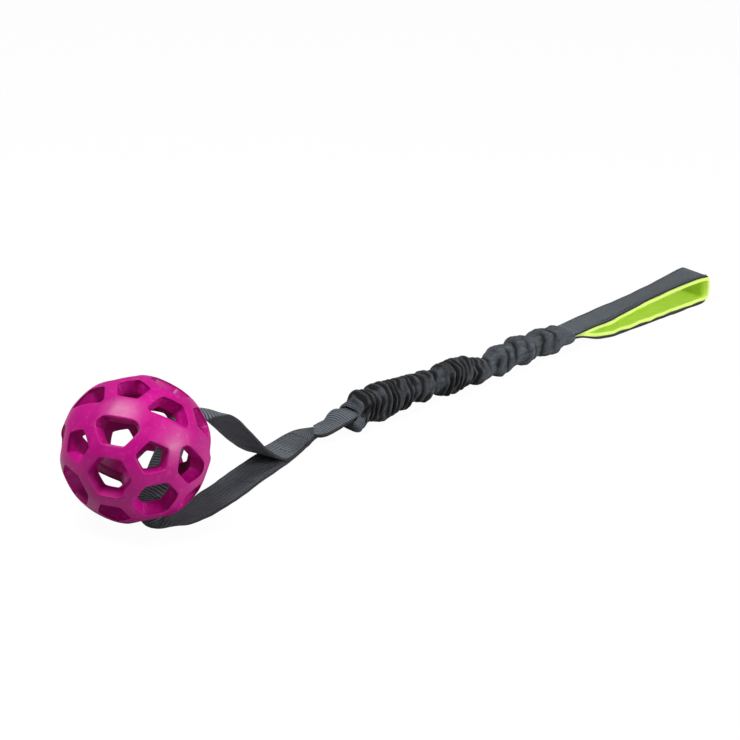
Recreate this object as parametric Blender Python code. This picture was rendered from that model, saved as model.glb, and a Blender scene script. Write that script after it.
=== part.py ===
# Bungee tug toy: a lattice rubber ball on a webbing loop, a gathered bungee sleeve and a lined hand loop.
# Metres, +Z up. The toy lies on the ground (z = 0) along X, ball at -X, hand loop at +X.
import math

import bmesh
import bpy
from mathutils import Euler, Vector

# Ball: a thick moulded shell with the 12 five-sided and 20 six-sided holes of a truncated icosahedron.
# Each hole is a funnel, a little narrower inside.
BALL_DIAMETER = 0.0915             # over the corners where three struts meet
BALL_CENTRE_HEIGHT = 0.0455
BALL_WALL = 0.0080
BALL_STRUT_WIDTH = 0.0070          # outside
BALL_INNER_STRUT_WIDTH = 0.0066
BALL_BELT_WIDTH = 0.0077           # plain belt where the two halves of the mould meet
BALL_BELT_SHIFT = 0.0011           # middle of the belt above the ball's middle, along the mould's axis
BALL_RIM_RADIUS = 0.0011
BALL_ROUNDNESS = 0.80              # 0 keeps the struts straight, 1 bends them onto the sphere
BALL_HOLE_ROUNDING = 0.22          # 0 keeps sharp hole corners, 1 makes round holes
BALL_EDGE_CUTS = 1                 # extra points along each side of a hole
BALL_X = -0.2485
BALL_TURN = (-9.4, 6.5, 174.8)     # degrees, as it came to lie
MOULD_AXIS = (-0.731, -0.515, 0.447)   # before that turn, through the middle of a five-sided hole

# Webbing
STRAP_WIDTH = 0.0240
STRAP_THICKNESS = 0.0016
STRAP_YAW = 12.0                  # degrees between the ball loop and the bungee, seen from above
LAYER_GAP = 0.0003
SEAM_START = 0.118                # from the ball's centre to the sewn seam of the loop
SEAM_END = 0.152

# Flat front tab that ties the ball loop to the bungee
TAB_WIDTH = 0.0190
TAB_THICKNESS = 0.0024
TAB_INSERT = 0.0080               # tucked into the sleeve

# Bungee
SLEEVE_START = 0.186              # from the ball's centre
SLEEVE_LENGTH = 0.218
GATHERED_LENGTH = 0.114
GATHER_COUNT = 20
GATHER_DEPTH = 0.0020
GATHER_LEAN = 0.0026              # the lower ends of the pleats lie this much further back
LOOSE_STEP = 0.0034               # between cross-sections of the loose part
OUTLINE_TILT = 61.0               # degrees from level of the direction in which its outline is given
SLEEVE_SIDES = 16
ELASTIC_WIDTH = 0.0090
ELASTIC_THICKNESS = 0.0030

# Hand loop
LOOP_Y = 0.0165
LOOP_ROOT_Z = 0.0100
LOOP_WIDTH = 0.0250
LOOP_ROOT_WIDTH = 0.0205          # drawn in where it is sewn into the sleeve
LOOP_REACH = 0.3550               # from the sleeve's front end to the tip of the loop
LOOP_HEIGHT = 0.0225
LINING_THICKNESS = 0.0028
LOOP_INSERT = 0.0080
SEWN_END_GAP = 0.0010


def clear_scene():
    for old in list(bpy.data.objects):
        bpy.data.objects.remove(old, do_unlink=True)


def linear(channel):
    return channel / 12.92 if channel <= 0.04045 else ((channel + 0.055) / 1.055) ** 2.4


def make_material(name, hex_colour, roughness, metallic=0.0):
    material = bpy.data.materials.new(name)
    material.use_nodes = True
    shader = material.node_tree.nodes["Principled BSDF"]
    rgb = [linear(int(hex_colour[i:i + 2], 16) / 255) for i in (1, 3, 5)]
    shader.inputs["Base Color"].default_value = (*rgb, 1.0)
    shader.inputs["Roughness"].default_value = roughness
    shader.inputs["Metallic"].default_value = metallic
    material.diffuse_color = (*rgb, 1.0)
    return material


def finish_object(name, bm, material, origin, sharp_angle=50.0):
    """Turns a bmesh in world coordinates into an object whose own origin is at the given point."""
    bmesh.ops.recalc_face_normals(bm, faces=bm.faces)
    bmesh.ops.translate(bm, verts=bm.verts, vec=-Vector(origin))
    mesh = bpy.data.meshes.new(name)
    bm.to_mesh(mesh)
    bm.free()
    mesh.materials.append(material)
    mesh.shade_smooth()
    mesh.set_sharp_from_angle(angle=math.radians(sharp_angle))
    piece = bpy.data.objects.new(name, mesh)
    piece.location = origin
    bpy.context.scene.collection.objects.link(piece)
    return piece


def loft(bm, rings):
    """Skins closed rings of equal length in order and caps both ends."""
    loops = [[bm.verts.new(point) for point in ring] for ring in rings]
    count = len(loops[0])
    for near, far in zip(loops, loops[1:]):
        for i in range(count):
            j = (i + 1) % count
            bm.faces.new((near[i], near[j], far[j], far[i]))
    bm.faces.new(loops[0])
    bm.faces.new(loops[-1])


def smooth_route(points, spacing):
    """Points about one spacing apart on a centripetal Catmull-Rom curve; extra values after x, y, z go along."""
    size = len(points[0])
    ends = [[2 * a - b for a, b in zip(points[0], points[1])]]
    ends.append([2 * a - b for a, b in zip(points[-1], points[-2])])
    chain = [ends[0], *points, ends[1]]
    route = []
    for p0, p1, p2, p3 in zip(chain, chain[1:], chain[2:], chain[3:]):
        knots = [0.0]
        for a, b in ((p0, p1), (p1, p2), (p2, p3)):
            knots.append(knots[-1] + max(math.dist(a[:3], b[:3]), 1e-6) ** 0.5)
        steps = max(1, round(math.dist(p1[:3], p2[:3]) / spacing))
        for step in range(steps):
            t = knots[1] + (knots[2] - knots[1]) * step / steps
            route.append([neville(t, knots, (p0[k], p1[k], p2[k], p3[k])) for k in range(size)])
    route.append(list(points[-1]))
    return route


def neville(t, knots, values):
    """One value of a Catmull-Rom span at t, by repeated linear blends."""
    t0, t1, t2, t3 = knots
    a1 = ((t1 - t) * values[0] + (t - t0) * values[1]) / (t1 - t0)
    a2 = ((t2 - t) * values[1] + (t - t1) * values[2]) / (t2 - t1)
    a3 = ((t3 - t) * values[2] + (t - t2) * values[3]) / (t3 - t2)
    b1 = ((t2 - t) * a1 + (t - t0) * a2) / (t2 - t0)
    b2 = ((t3 - t) * a2 + (t - t1) * a3) / (t3 - t1)
    return ((t2 - t) * b1 + (t - t1) * b2) / (t2 - t1)


def band_ring(centre, along, across, width, thickness, cup=0.0, lean=0.0, cuts=4):
    """Cross-section of a band that curls through the angle cup over its width and leans over by the angle lean."""
    level = (across - across.dot(along) * along).normalized()
    steep = along.cross(level)
    across = level * math.cos(lean) + steep * math.sin(lean)
    up = steep * math.cos(lean) - level * math.sin(lean)
    rims = []
    for side in (0.5, -0.5):
        row = []
        for i in range(cuts + 1):
            share = i / cuts - 0.5
            if abs(cup) > 1e-4:
                radius = width / cup
                turn = share * cup
                out = Vector((math.sin(turn), 0.0, math.cos(turn)))
                flat = radius * math.sin(turn)
                rise = radius * (1.0 - math.cos(turn))
                lift = side * thickness
                row.append(centre + across * (flat - out.x * lift) + up * (rise + out.z * lift))
            else:
                row.append(centre + across * share * width + up * side * thickness)
        rims.append(row)
    return rims[0] + rims[1][::-1]


def band_along(bm, route, across, cuts=4):
    """Sweeps a flat band along route, whose rows are x, y, z, curl, lean, thickness and width."""
    rings = []
    for i, (x, y, z, curl, lean, thickness, width) in enumerate(route):
        before = Vector(route[max(i - 1, 0)][:3])
        after = Vector(route[min(i + 1, len(route) - 1)][:3])
        along = (after - before).normalized()
        rings.append(band_ring(Vector((x, y, z)), along, across, width, thickness, curl, lean, cuts))
    loft(bm, rings)


def ball_centre():
    return Vector((BALL_X, 0.0, BALL_CENTRE_HEIGHT))


def open_net(bm, faces, strut_width, radius):
    """Turns faces into a net of struts round open holes that stop at the belt; the faces given become the holes."""
    pole = max(faces, key=lambda face: face.calc_center_median().normalized().dot(Vector(MOULD_AXIS)))
    axis = pole.calc_center_median().normalized()
    belt_half = BALL_BELT_WIDTH / BALL_DIAMETER
    belt_middle = BALL_BELT_SHIFT / (BALL_DIAMETER / 2)
    bmesh.ops.inset_individual(bm, faces=faces, thickness=strut_width / 2, depth=0.0, use_even_offset=True)
    for hole in faces:
        middle = hole.calc_center_median()
        mean = sum((v.co - middle).length for v in hole.verts) / len(hole.verts)
        for v in hole.verts:
            arm = v.co - middle
            v.co = middle + arm.normalized() * (arm.length + (mean - arm.length) * BALL_HOLE_ROUNDING)
            side = math.copysign(1.0, middle.dot(axis))
            overlap = belt_half - side * (v.co.normalized().dot(axis) - belt_middle)
            if overlap > 0:
                v.co += axis * side * overlap * radius


def make_ball(material):
    """The lattice: an outer and an inner net of struts on the edges of a football's 32 faces, joined by hole walls."""
    bm = bmesh.new()
    radius = BALL_DIAMETER / 2
    inner_radius = radius - BALL_WALL
    bmesh.ops.create_icosphere(bm, subdivisions=1, radius=radius)
    bmesh.ops.bevel(
        bm, geom=bm.verts[:] + bm.edges[:], offset=100 / 3, offset_type="PERCENT",
        affect="VERTICES", segments=1, profile=0.5, material=-1,
    )
    corner = max(v.co.length for v in bm.verts)
    bmesh.ops.scale(bm, vec=(radius / corner,) * 3, verts=bm.verts)
    bmesh.ops.subdivide_edges(bm, edges=bm.edges[:], cuts=BALL_EDGE_CUTS)
    holes = bm.faces[:]
    twin = bmesh.ops.duplicate(bm, geom=bm.verts[:] + bm.edges[:] + bm.faces[:])["geom"]
    inner_verts = [part for part in twin if isinstance(part, bmesh.types.BMVert)]
    inner_holes = [part for part in twin if isinstance(part, bmesh.types.BMFace)]
    bmesh.ops.scale(bm, vec=(inner_radius / radius,) * 3, verts=inner_verts)
    open_net(bm, holes, BALL_STRUT_WIDTH, radius)
    open_net(bm, inner_holes, BALL_INNER_STRUT_WIDTH, inner_radius)
    for v in bm.verts:
        full = radius if v.co.length > (radius + inner_radius) / 2 else inner_radius
        v.co = v.co.normalized() * (v.co.length + (full - v.co.length) * BALL_ROUNDNESS)
    rims = [edge for hole in holes for edge in hole.edges]
    walls = []
    for hole in holes:
        way = hole.calc_center_median().normalized()
        inner = max(inner_holes, key=lambda face: face.calc_center_median().normalized().dot(way))
        walls.append(hole.edges[:] + inner.edges[:])
    bmesh.ops.delete(bm, geom=holes + inner_holes, context="FACES_ONLY")
    for edges in walls:
        bmesh.ops.bridge_loops(bm, edges=edges)
    bmesh.ops.bevel(
        bm, geom=rims, offset=BALL_RIM_RADIUS, offset_type="OFFSET", affect="EDGES",
        segments=2, profile=0.5, material=-1, clamp_overlap=True,
    )
    turn = Euler([math.radians(a) for a in BALL_TURN]).to_matrix()
    bmesh.ops.rotate(bm, verts=bm.verts, cent=(0, 0, 0), matrix=turn)
    bmesh.ops.translate(bm, verts=bm.verts, vec=ball_centre())
    return finish_object("rubber_ball", bm, material, ball_centre())


# Route of the ball strap's middle line: from the sewn seam along the ground, under the ball, up through a
# bottom hole, across the inside, out through the hole that faces the bungee, and down onto the seam again.
# Values: distance from the ball's centre, y, z, the angle in radians that the webbing curls through over its
# width, and the angle that it leans to one side.
STRAP_ROUTE = [
    (SEAM_END, 0.0130, 0.0008, 0.0, 0.0),
    (SEAM_START, 0.0085, 0.0008, 0.0, 0.0),
    (0.090, 0.0010, 0.0008, 0.0, 0.0),
    (0.066, -0.0075, 0.0008, 0.0, 0.0),
    (0.044, -0.0142, 0.0008, 0.0, 0.0),
    (0.029, -0.0178, 0.0008, 0.0, 0.0),
    (0.0167, -0.0209, 0.0008, 0.20, 0.0),
    (0.0067, -0.0237, 0.0008, 0.15, 0.0),
    (-0.0012, -0.0239, 0.0010, -0.47, 0.0),
    (-0.0064, -0.0221, 0.0029, -1.42, 0.0),
    (-0.0091, -0.0201, 0.0077, -2.50, 0.0),
    (-0.0094, -0.0179, 0.0140, -3.20, 0.0),
    (-0.0063, -0.0130, 0.0197, -3.17, 0.0),
    (0.0000, -0.0116, 0.0241, -2.73, 0.0),
    (0.0069, -0.0091, 0.0307, -2.27, 0.0),
    (0.0137, -0.0066, 0.0378, -2.28, 0.0),
    (0.0200, -0.0046, 0.0458, -2.81, 0.0),
    (0.0255, -0.0036, 0.0535, -3.46, 0.0),
    (0.0324, -0.0048, 0.0599, -3.49, 0.0),
    (0.0408, -0.0056, 0.0609, -2.59, -0.05),
    (0.0492, -0.0049, 0.0588, -1.37, -0.15),
    (0.0580, -0.0010, 0.0528, -0.4, -0.22),
    (0.0690, 0.0015, 0.0437, -0.1, -0.25),
    (0.0790, 0.0035, 0.0332, 0.0, -0.25),
    (0.0890, 0.0055, 0.0228, 0.0, -0.22),
    (0.0985, 0.0068, 0.0134, 0.0, -0.14),
    (0.1080, 0.0078, 0.0064, 0.0, -0.05),
    (0.1165, 0.0084, 0.0032, 0.0, 0.0),
    (0.1240, 0.0093, 0.0027, 0.0, 0.0),
    (SEAM_END, 0.0130, 0.0027, 0.0, 0.0),
]


def make_ball_strap(material):
    bm = bmesh.new()
    size = (STRAP_THICKNESS, STRAP_WIDTH)
    route = [(BALL_X + x, y, z, curl, lean, *size) for x, y, z, curl, lean in STRAP_ROUTE]
    yaw = math.radians(STRAP_YAW)
    across = Vector((-math.sin(yaw), math.cos(yaw), 0.0))
    band_along(bm, smooth_route(route, 0.0035), across, cuts=5)
    for v in bm.verts:
        v.co.z = max(v.co.z, 0.0)
    return finish_object("ball_strap", bm, material, swing_axis_point())


def swing_axis_point():
    """Where the front tab bends when the ball loop swings."""
    return Vector((BALL_X + 0.168, 0.0138, 0.0064))


def make_front_strap(material):
    """Flat tab, sewn on top of both ends of the ball strap and tucked into the sleeve."""
    bm = bmesh.new()
    z0 = 2 * STRAP_THICKNESS + 3 * LAYER_GAP + TAB_THICKNESS / 2
    mouth = sleeve_centre(0.0)
    inner = sleeve_centre(TAB_INSERT)
    route = [
        (SEAM_START + 0.003, 0.0088, z0, 0.0),
        (0.136, 0.0112, z0, 0.0),
        (SEAM_END, 0.0130, z0, 0.0),
        (0.168, 0.0138, z0 + 0.0016, 0.3),
        (SLEEVE_START - 0.004, mouth[0], mouth[1] - 0.0006, 0.1),
        (SLEEVE_START + TAB_INSERT, *inner, 0.0),
    ]
    route = [(BALL_X + x, y, z, curl, 0.0, TAB_THICKNESS, TAB_WIDTH) for x, y, z, curl in route]
    band_along(bm, smooth_route(route, 0.005), Vector((0, 1, 0)))
    return finish_object("front_strap", bm, material, swing_axis_point())


# The sleeve: distance from the front end, y and z of its middle, its height against its width, and squareness
# (2 is an ellipse). It is pressed flat over the tab and over the hand loop's ends.
SLEEVE_TUBE = [
    (0.000, 0.0136, 0.0085, 0.55, 2.8),
    (0.006, 0.0132, 0.0086, 0.72, 2.6),
    (0.015, 0.0128, 0.0098, 0.92, 2.2),
    (0.040, 0.0130, 0.0118, 0.98, 2.0),
    (0.076, 0.0132, 0.0100, 0.98, 2.0),
    (0.108, 0.0126, 0.0106, 0.96, 2.0),
    (0.122, 0.0130, 0.0094, 0.92, 2.0),
    (0.150, 0.0146, 0.0093, 0.88, 2.1),
    (0.180, 0.0163, 0.0096, 0.84, 2.2),
    (0.198, 0.0165, 0.0100, 0.62, 2.8),
    (0.208, 0.0165, 0.0100, 0.46, 3.4),
    (SLEEVE_LENGTH, LOOP_Y, LOOP_ROOT_Z, 0.44, 3.4),
]
# Its lumpy outline: distance from the front end, reach above the middle, and reach below it
SLEEVE_OUTLINE = [
    (0.000, 0.0066, 0.0104),
    (0.005, 0.0096, 0.0099),
    (0.010, 0.0125, 0.0079),
    (0.015, 0.0120, 0.0091),
    (0.021, 0.0120, 0.0112),
    (0.028, 0.0127, 0.0105),
    (0.036, 0.0113, 0.0100),
    (0.045, 0.0105, 0.0106),
    (0.053, 0.0105, 0.0078),
    (0.063, 0.0100, 0.0102),
    (0.074, 0.0097, 0.0067),
    (0.084, 0.0114, 0.0110),
    (0.093, 0.0119, 0.0110),
    (0.104, 0.0111, 0.0089),
    (0.113, 0.0082, 0.0112),
    (0.125, 0.0060, 0.0085),
    (0.136, 0.0092, 0.0110),
    (0.142, 0.0100, 0.0098),
    (0.150, 0.0087, 0.0079),
    (0.160, 0.0112, 0.0092),
    (0.167, 0.0099, 0.0092),
    (0.175, 0.0074, 0.0075),
    (0.184, 0.0092, 0.0092),
    (0.191, 0.0081, 0.0093),
    (0.198, 0.0066, 0.0068),
    (SLEEVE_LENGTH, 0.0064, 0.0060),
]
# Its bore: distance from the front end, half width, half height, squareness
SLEEVE_BORE = [
    (0.000, 0.0104, 0.0032, 3.5),
    (0.009, 0.0104, 0.0040, 3.3),
    (0.018, 0.0056, 0.0040, 2.2),
    (0.196, 0.0056, 0.0040, 2.2),
    (0.204, 0.0112, 0.0036, 3.5),
    (SLEEVE_LENGTH, 0.0112, 0.0034, 3.5),
]


def mix(a, b, share):
    share = min(max(share, 0.0), 1.0)
    share = share * share * (3 - 2 * share)
    return a + (b - a) * share


def row_at(table, s):
    """Values of a table, whose rows start with a distance, at s metres from the sleeve's front end."""
    for near, far in zip(table, table[1:]):
        if s <= far[0]:
            share = (s - near[0]) / (far[0] - near[0])
            return [mix(a, b, share) for a, b in zip(near[1:], far[1:])]
    return list(table[-1][1:])


def sleeve_centre(s):
    y, z = row_at(SLEEVE_TUBE, s)[:2]
    return y, z


def pleat_depth(s, turned):
    """How far the cloth dives between two pleats of the tight part; turned is the angle from the upper outline."""
    tight = mix(1.0, 0.0, (s - GATHERED_LENGTH + 0.006) / 0.012) * mix(0.0, 1.0, (s - 0.006) / 0.012)
    here = s - GATHER_LEAN * math.cos(turned)
    uneven = 0.8 * math.sin(95 * s + 0.7) + 0.4 * math.sin(2 * turned + 40 * s)
    pleat = 0.5 - 0.5 * math.cos(2 * math.pi * here * GATHER_COUNT / GATHERED_LENGTH + uneven)
    size = GATHER_DEPTH * (1.0 + 0.3 * math.sin(61 * s + 1.0)) * (0.3 + 0.7 * abs(math.sin(turned)))
    return tight * size * pleat


def sleeve_stations():
    count = 4 * GATHER_COUNT
    tight = [GATHERED_LENGTH * i / count for i in range(count)]
    rest = SLEEVE_LENGTH - GATHERED_LENGTH
    loose = round(rest / LOOSE_STEP)
    return tight + [GATHERED_LENGTH + rest * i / loose for i in range(loose + 1)]


def oval(angle, squareness):
    """A point of a squarish circle of radius 1."""
    side = math.copysign(abs(math.cos(angle)) ** (2 / squareness), math.cos(angle))
    rise = math.copysign(abs(math.sin(angle)) ** (2 / squareness), math.sin(angle))
    return side, rise


def outer_ring(s):
    y, z, tall, squareness = row_at(SLEEVE_TUBE, s)
    upper, lower = row_at(SLEEVE_OUTLINE, s)
    tilt = math.radians(OUTLINE_TILT)
    reach = (math.cos(tilt) ** squareness + (tall * math.sin(tilt)) ** squareness) ** (1 / squareness)
    ring = []
    for i in range(SLEEVE_SIDES):
        angle = 2 * math.pi * i / SLEEVE_SIDES
        turned = angle - tilt
        side, rise = oval(angle, squareness)
        size = (upper + lower) / 2 + (upper - lower) / 2 * math.cos(turned)
        size = size / reach - pleat_depth(s, turned)
        height = max(z + size * tall * rise, 0.0)
        ring.append(Vector((BALL_X + SLEEVE_START + s, y + size * side, height)))
    return ring


def bore_ring(s):
    y, z = sleeve_centre(s)
    half_width, half_height, squareness = row_at(SLEEVE_BORE, s)
    ring = []
    for i in range(SLEEVE_SIDES):
        side, rise = oval(2 * math.pi * i / SLEEVE_SIDES, squareness)
        ring.append(Vector((BALL_X + SLEEVE_START + s, y + half_width * side, z + half_height * rise)))
    return ring


def make_sleeve(material):
    """Outer cloth with its pleats and puffs, and a plain bore right through."""
    bm = bmesh.new()
    outer = [outer_ring(s) for s in sleeve_stations()]
    bore_stations = [0.0, 0.0095, 0.0135, 0.020]
    bore_stations += [0.020 + (SLEEVE_LENGTH - 0.042) * i / 14 for i in range(1, 15)]
    bore_stations += [SLEEVE_LENGTH - 0.014, SLEEVE_LENGTH - 0.007, SLEEVE_LENGTH]
    bore = [bore_ring(s) for s in reversed(bore_stations)]
    loops = [[bm.verts.new(point) for point in ring] for ring in outer + bore]
    for near, far in zip(loops, loops[1:] + loops[:1]):
        for i in range(SLEEVE_SIDES):
            j = (i + 1) % SLEEVE_SIDES
            bm.faces.new((near[i], near[j], far[j], far[i]))
    return finish_object("bungee_sleeve", bm, material, sleeve_front(), sharp_angle=80.0)


def sleeve_front():
    return Vector((BALL_X + SLEEVE_START, *sleeve_centre(0.0)))


def make_elastic(material):
    """Flat elastic band inside the sleeve, sewn to the front tab and to the hand loop's ends."""
    start = TAB_INSERT + SEWN_END_GAP
    end = SLEEVE_LENGTH - LOOP_INSERT - SEWN_END_GAP
    route = []
    for i in range(13):
        s = start + (end - start) * i / 12
        middle = (BALL_X + SLEEVE_START + s, *sleeve_centre(s))
        route.append((*middle, 0.0, 0.0, ELASTIC_THICKNESS, ELASTIC_WIDTH))
    bm = bmesh.new()
    band_along(bm, route, Vector((0, 1, 0)), cuts=2)
    return finish_object("elastic_core", bm, material, Vector(route[0][:3]))


def fold_axis_point():
    """Where the hand loop bends against the bungee."""
    return Vector((BALL_X + SLEEVE_START + SLEEVE_LENGTH + 0.004, LOOP_Y, LOOP_ROOT_Z))


def loop_route():
    """Middle line of the hand loop's webbing, from its upper end over the tip to its lower end."""
    mouth = SLEEVE_START + SLEEVE_LENGTH
    tip = SLEEVE_START + LOOP_REACH
    half = STRAP_THICKNESS / 2
    lift = half + LAYER_GAP / 2
    top = LOOP_HEIGHT - half
    points = [
        (mouth - LOOP_INSERT, LOOP_ROOT_Z + lift),
        (mouth + 0.001, LOOP_ROOT_Z + lift),
        (mouth + 0.008, LOOP_ROOT_Z + 0.0018),
        (mouth + 0.020, LOOP_ROOT_Z + 0.0046),
        (mouth + 0.050, top - 0.0040),
        (mouth + 0.084, top - 0.0006),
        (tip - 0.022, top),
        (tip - 0.0080, top - 0.0014),
        (tip - 0.0008, top - 0.0070),
        (tip - 0.0008, half + 0.0072),
        (tip - 0.0070, half + 0.0012),
        (tip - 0.016, half),
        (tip - 0.060, half),
        (mouth + 0.036, half),
        (mouth + 0.024, half + 0.0013),
        (mouth + 0.014, half + 0.0043),
        (mouth + 0.006, LOOP_ROOT_Z - 0.0020),
        (mouth + 0.000, LOOP_ROOT_Z - lift),
        (mouth - LOOP_INSERT, LOOP_ROOT_Z - lift),
    ]
    route = smooth_route([(BALL_X + x, LOOP_Y, z) for x, z in points], 0.005)
    return [(x, y, max(z, half)) for x, y, z in route]


def loop_width(x):
    """Width of the hand loop's webbing, which narrows towards the sleeve."""
    from_sleeve = x - BALL_X - SLEEVE_START - SLEEVE_LENGTH
    return mix(LOOP_ROOT_WIDTH, LOOP_WIDTH, from_sleeve / 0.032)


def make_hand_loop(material):
    bm = bmesh.new()
    route = [(*point, 0.0, 0.0, STRAP_THICKNESS, loop_width(point[0])) for point in loop_route()]
    band_along(bm, route, Vector((0, 1, 0)), cuts=1)
    return finish_object("handle_webbing", bm, material, fold_axis_point())


def make_lining(material):
    """Fleece on the inside of the hand loop, offset inwards from the webbing and pressed thin at the seam."""
    seam = BALL_X + SLEEVE_START + SLEEVE_LENGTH + 0.011
    route = loop_route()
    rows = []
    for before, here, after in zip(route, route[1:], route[2:]):
        if here[0] < seam:
            continue
        along = (Vector(after) - Vector(before)).normalized()
        inward = Vector((along.z, 0.0, -along.x))
        thickness = mix(0.0008, LINING_THICKNESS, (here[0] - seam) / 0.030)
        middle = Vector(here) + inward * (STRAP_THICKNESS / 2 + LAYER_GAP + thickness / 2)
        rows.append((*middle, 0.0, 0.0, thickness, loop_width(here[0]) - 0.0010))
    bm = bmesh.new()
    band_along(bm, rows, Vector((0, 1, 0)), cuts=1)
    return finish_object("handle_lining", bm, material, fold_axis_point())


def main():
    clear_scene()
    rubber = make_material("magenta_rubber", "#B0087E", 0.38)
    webbing = make_material("grey_webbing", "#44494F", 0.75)
    sleeve_cloth = make_material("sleeve_cloth", "#33383B", 0.85)
    elastic = make_material("woven_elastic", "#1E1F22", 0.8)
    fleece = make_material("lime_fleece", "#A8DF2E", 0.95)
    make_ball(rubber)
    make_ball_strap(webbing)
    make_front_strap(webbing)
    make_sleeve(sleeve_cloth)
    make_elastic(elastic)
    make_hand_loop(webbing)
    make_lining(fleece)


main()
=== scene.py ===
# Bungee tug toy: the looks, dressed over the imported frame. Metres, +Z up, ball at -X, hand loop at +X.
import math

import bmesh
import bpy
from mathutils import Euler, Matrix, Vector, noise
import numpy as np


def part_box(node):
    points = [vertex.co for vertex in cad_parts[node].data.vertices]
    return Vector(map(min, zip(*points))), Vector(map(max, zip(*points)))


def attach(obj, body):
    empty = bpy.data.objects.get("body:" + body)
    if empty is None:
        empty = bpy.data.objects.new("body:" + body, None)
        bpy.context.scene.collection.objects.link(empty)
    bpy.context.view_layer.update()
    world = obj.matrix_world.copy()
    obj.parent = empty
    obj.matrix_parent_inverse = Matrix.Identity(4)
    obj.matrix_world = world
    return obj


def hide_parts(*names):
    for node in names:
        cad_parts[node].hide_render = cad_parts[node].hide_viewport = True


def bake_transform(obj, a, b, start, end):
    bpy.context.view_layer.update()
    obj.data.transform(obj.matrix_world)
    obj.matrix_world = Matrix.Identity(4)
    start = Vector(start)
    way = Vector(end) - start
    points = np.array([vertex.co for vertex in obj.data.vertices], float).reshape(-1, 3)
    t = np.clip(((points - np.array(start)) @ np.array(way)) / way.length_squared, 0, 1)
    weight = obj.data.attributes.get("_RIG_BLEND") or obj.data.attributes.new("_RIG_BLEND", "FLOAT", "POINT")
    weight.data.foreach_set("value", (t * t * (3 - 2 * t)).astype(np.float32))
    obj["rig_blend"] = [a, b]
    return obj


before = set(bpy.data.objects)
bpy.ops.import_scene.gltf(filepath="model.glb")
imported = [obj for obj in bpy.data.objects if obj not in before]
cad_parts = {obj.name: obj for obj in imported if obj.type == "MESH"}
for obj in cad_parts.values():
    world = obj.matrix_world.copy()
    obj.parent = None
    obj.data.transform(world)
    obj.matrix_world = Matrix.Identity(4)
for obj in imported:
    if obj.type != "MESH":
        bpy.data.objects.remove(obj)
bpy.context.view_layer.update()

mm = 0.001

ballLow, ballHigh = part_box("rubber_ball")
sleeveLow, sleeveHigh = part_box("bungee_sleeve")
ballX = (ballLow.x + ballHigh.x) / 2
sleeveStart = sleeveLow.x
sleeveEnd = sleeveHigh.x
hemEnd = sleeveEnd - 9 * mm  # the cloth stops a little short of the solid


# small helpers

def ease(start, end, x):
    # 0 before start, 1 after end, smooth between
    share = min(max((x - start) / (end - start), 0.0), 1.0)
    return share * share * (3 - 2 * share)


def mix(a, b, share):
    return a + (b - a) * share


def linearColour(hexColour, alpha=1.0):
    channels = [int(hexColour[i:i + 2], 16) / 255 for i in (1, 3, 5)]
    return (*[c / 12.92 if c <= 0.04045 else ((c + 0.055) / 1.055) ** 2.4 for c in channels], alpha)


def addNode(tree, kind, settings=None, inputs=None):
    # a node with its settings; an input is a value or another node's output
    node = tree.nodes.new(kind)
    for key, value in (settings or {}).items():
        setattr(node, key, value)
    for key, value in (inputs or {}).items():
        socket = node.inputs[key]
        if isinstance(value, bpy.types.NodeSocket):
            tree.links.new(value, socket)
        else:
            socket.default_value = value
    return node


def startMaterial(name, roughness, specular=0.5):
    material = bpy.data.materials.new(name)
    material.use_nodes = True
    tree = material.node_tree
    shader = tree.nodes["Principled BSDF"]
    shader.inputs["Roughness"].default_value = roughness
    shader.inputs["Specular IOR Level"].default_value = specular
    return material, tree, shader


def finishPiece(name, bm, material, nodes):
    # bmesh to a smooth object at the origin that stands for the CAD nodes
    mesh = bpy.data.meshes.new(name)
    bm.to_mesh(mesh)
    bm.free()
    mesh.materials.append(material)
    mesh.shade_smooth()
    piece = bpy.data.objects.new(name, mesh)
    bpy.context.scene.collection.objects.link(piece)
    if nodes:
        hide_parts(*nodes)
    return piece


def splinePoint(t, knots, values):
    # one value of a Catmull-Rom span
    t0, t1, t2, t3 = knots
    a1 = ((t1 - t) * values[0] + (t - t0) * values[1]) / (t1 - t0)
    a2 = ((t2 - t) * values[1] + (t - t1) * values[2]) / (t2 - t1)
    a3 = ((t3 - t) * values[2] + (t - t2) * values[3]) / (t3 - t2)
    b1 = ((t2 - t) * a1 + (t - t0) * a2) / (t2 - t0)
    b2 = ((t3 - t) * a2 + (t - t1) * a3) / (t3 - t1)
    return ((t2 - t) * b1 + (t - t1) * b2) / (t2 - t1)


def traceRoute(points, step=0.5 * mm):
    # rows along a smooth curve through the points, whose first three values are x, y, z
    first = [2 * a - b for a, b in zip(points[0], points[1])]
    last = [2 * a - b for a, b in zip(points[-1], points[-2])]
    chain = [first, *points, last]
    rows = []
    for p0, p1, p2, p3 in zip(chain, chain[1:], chain[2:], chain[3:]):
        knots = [0.0]
        for a, b in ((p0, p1), (p1, p2), (p2, p3)):
            knots.append(knots[-1] + max(math.dist(a[:3], b[:3]), 1e-6) ** 0.5)
        count = max(2, round(math.dist(p1[:3], p2[:3]) / step))
        for i in range(count):
            t = knots[1] + (knots[2] - knots[1]) * i / count
            rows.append([splinePoint(t, knots, column) for column in zip(p0, p1, p2, p3)])
    rows.append(list(points[-1]))
    return rows


def measureRoute(rows):
    # distance from the start to each row
    distances = [0.0]
    for a, b in zip(rows, rows[1:]):
        distances.append(distances[-1] + math.dist(a[:3], b[:3]))
    return distances


def rowAt(rows, distances, d):
    # values at distance d along the route
    low, high = 0, len(distances) - 1
    while high - low > 1:
        middle = (low + high) // 2
        if distances[middle] <= d:
            low = middle
        else:
            high = middle
    share = (d - distances[low]) / max(distances[high] - distances[low], 1e-9)
    return [mix(a, b, min(max(share, 0.0), 1.0)) for a, b in zip(rows[low], rows[high])]


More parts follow.
